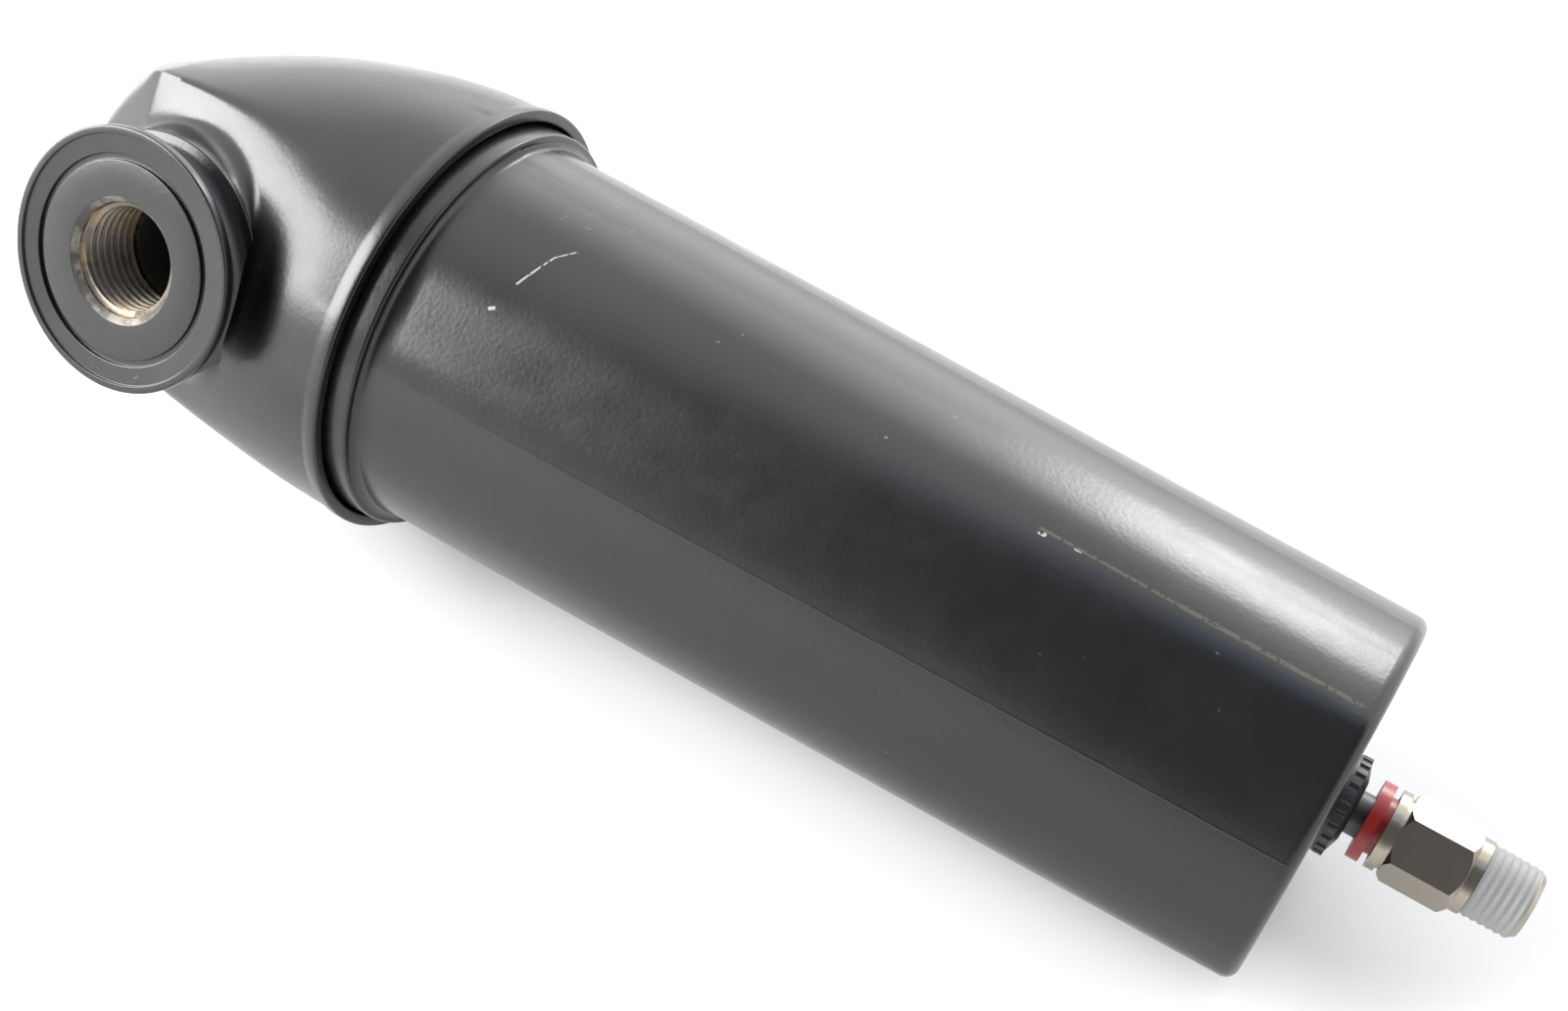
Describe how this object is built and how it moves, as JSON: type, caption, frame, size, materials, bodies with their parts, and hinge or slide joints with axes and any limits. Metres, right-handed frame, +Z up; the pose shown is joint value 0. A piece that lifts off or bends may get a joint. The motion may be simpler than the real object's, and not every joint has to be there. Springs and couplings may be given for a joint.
{
  "type": "compressed air filter",
  "caption": "In-line compressed air filter: flanged threaded ports, screw-on tapered bowl, coalescing element, float drain and push-in drain fitting.",
  "frame": {"origin": "where the axis of the two ports crosses the axis of the bowl, inside the head", "axes": "+X along the ports from inlet to outlet, +Z up along the bowl axis with the drain at the bottom, as it hangs in its pipework"},
  "size_m": [0.1, 0.088, 0.302],
  "materials": {
    "black_paint": "satin powder coat",
    "black_plastic": "moulded black nylon",
    "steel": "bright stainless steel",
    "rubber": "black nitrile rubber",
    "nickel": "nickel plated brass, slightly dull",
    "sealant": "white thread sealant coating",
    "red_plastic": "red moulded plastic",
    "fibre": "bonded glass micro fibre",
    "foam": "open cell drainage foam",
    "float_plastic": "closed cell float material"
  },
  "bodies": {
    "head": {"head": "black_paint", "head_plug": "black_paint", "plug_seal": "rubber"},
    "neck_seal": {"bowl_seal": "rubber"},
    "bowl": {"bowl": "black_paint", "drain_body": "black_plastic", "drain_gasket": "rubber", "lever_pin": "steel"},
    "element": {"element_top_cap": "black_plastic", "element_seals": "rubber", "element_core": "steel", "element_media": "fibre", "element_sleeve": "steel", "element_foam": "foam", "element_bottom_cap": "black_plastic"},
    "knob": {"drain_knob": "black_plastic"},
    "float": {"float": "float_plastic"},
    "lever": {"float_lever": "steel"},
    "valve": {"valve_plug": "rubber"},
    "fitting": {"fitting_body": "nickel", "thread_sealant": "sealant", "fitting_collet": "steel", "fitting_seal": "rubber"},
    "release": {"release_ring": "red_plastic"}
  },
  "joints": [
    {"name": "bowl_lower", "type": "slide", "parent": "head", "child": "neck_seal", "axis": [0, 0, -1], "range_m": [0, 0.0094]},
    {"name": "bowl_unscrew", "type": "hinge", "parent": "neck_seal", "child": "bowl", "pos_m": [0, 0, -0.0219], "axis": [0, 0, -1], "range_deg": [0, 1125]},
    {"name": "element_pull", "type": "slide", "parent": "head", "child": "element", "axis": [0, 0, -1], "range_m": [0, 0.009]},
    {"name": "knob_turn", "type": "hinge", "parent": "bowl", "child": "knob", "pos_m": [0, 0, -0.2255], "axis": [0, 0, -1], "range_deg": [0, 90]},
    {"name": "float_rise", "type": "slide", "parent": "bowl", "child": "float", "axis": [0, 0, 1], "range_m": [0, 0.008]},
    {"name": "lever_tilt", "type": "hinge", "parent": "bowl", "child": "lever", "pos_m": [0.008, 0, -0.186], "axis": [0, 1, 0], "range_deg": [0, 22.5]},
    {"name": "valve_lift", "type": "slide", "parent": "bowl", "child": "valve", "axis": [0, 0, 1], "range_m": [0, 0.00265]},
    {"name": "fitting_swivel", "type": "hinge", "parent": "bowl", "child": "fitting", "pos_m": [0, 0, -0.24], "axis": [0, 0, -1], "continuous": true},
    {"name": "ring_press", "type": "slide", "parent": "fitting", "child": "release", "axis": [0, 0, -1], "range_m": [0, 0.0009], "stiffness_N_per_m": 800}
  ],
  "couplings": [
    {"joint": "bowl_lower", "follows": "bowl_unscrew", "m_per_rad": 0.00047746},
    {"joint": "lever_tilt", "follows": "float_rise", "rad_per_m": 48.9},
    {"joint": "valve_lift", "follows": "float_rise", "ratio": 0.325}
  ]
}
